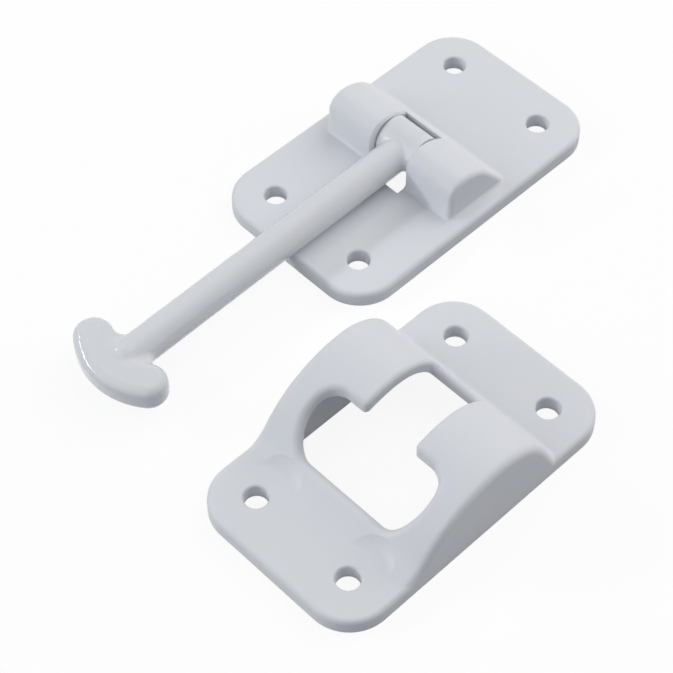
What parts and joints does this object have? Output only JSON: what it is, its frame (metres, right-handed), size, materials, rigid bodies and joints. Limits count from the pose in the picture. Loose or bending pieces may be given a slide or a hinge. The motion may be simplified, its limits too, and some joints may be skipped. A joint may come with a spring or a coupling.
{
  "type": "door holder",
  "caption": "White plastic door holder: a plate with a hinged arm that ends in a crescent head, and a catch plate with a hollow ramp and a keyhole opening.",
  "frame": {"origin": "centre of the hinge plate's four screw holes, on its mounting face", "axes": "+Z out of both mounting faces, X along the arm's hinge line, the arm folded down along -Y, the catch plate beside it on the +X side"},
  "size_m": [0.1047, 0.1389, 0.0195],
  "materials": {
    "plate_plastic": "satin white, moulded",
    "arm_plastic": "white with a soft gloss"
  },
  "bodies": {
    "base": {"hinge_plate": "plate_plastic", "catch_plate": "plate_plastic"},
    "arm": {"t_arm": "arm_plastic"}
  },
  "joints": [
    {"name": "arm_hinge", "type": "hinge", "parent": "base", "child": "arm", "pos_m": [0, -0.0006, 0.00865], "axis": [-1, 0, 0], "range_deg": [0, 108]}
  ]
}
